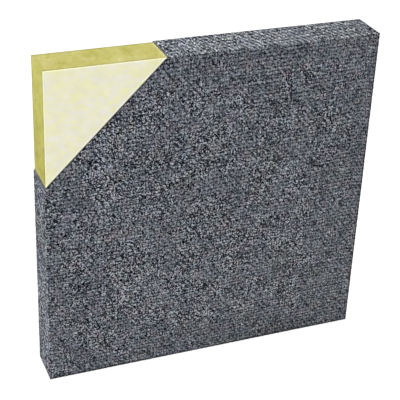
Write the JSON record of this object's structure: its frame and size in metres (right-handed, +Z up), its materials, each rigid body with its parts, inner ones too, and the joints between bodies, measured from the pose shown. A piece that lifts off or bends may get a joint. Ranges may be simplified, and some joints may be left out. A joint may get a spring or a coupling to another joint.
{
  "type": "acoustic wall panel",
  "caption": "Square sound-absorbing wall panel: rigid glass-wool board with pale glass-tissue face, wrapped in woven cloth with one corner cut away to show the core.",
  "frame": {"origin": "middle of the lower edge face, on the surface the panel stands on", "axes": "+Z up the panel's height, -Y out of the cloth-covered front, +Y out of the back that goes to the wall, X across the width"},
  "size_m": [0.6, 0.075, 0.6],
  "materials": {
    "glass_wool": "matte compressed olive-yellow glass wool, faint layers parallel to the face",
    "glass_tissue": "matte pale cream glass tissue with soft yellow blotches",
    "woven_cloth": "coarse plain-woven blue-grey melange cloth, matte, with light and dark flecks"
  },
  "bodies": {
    "root": {"core_board": "glass_wool", "front_tissue": "glass_tissue", "fabric_wrap": "woven_cloth"}
  },
  "joints": []
}
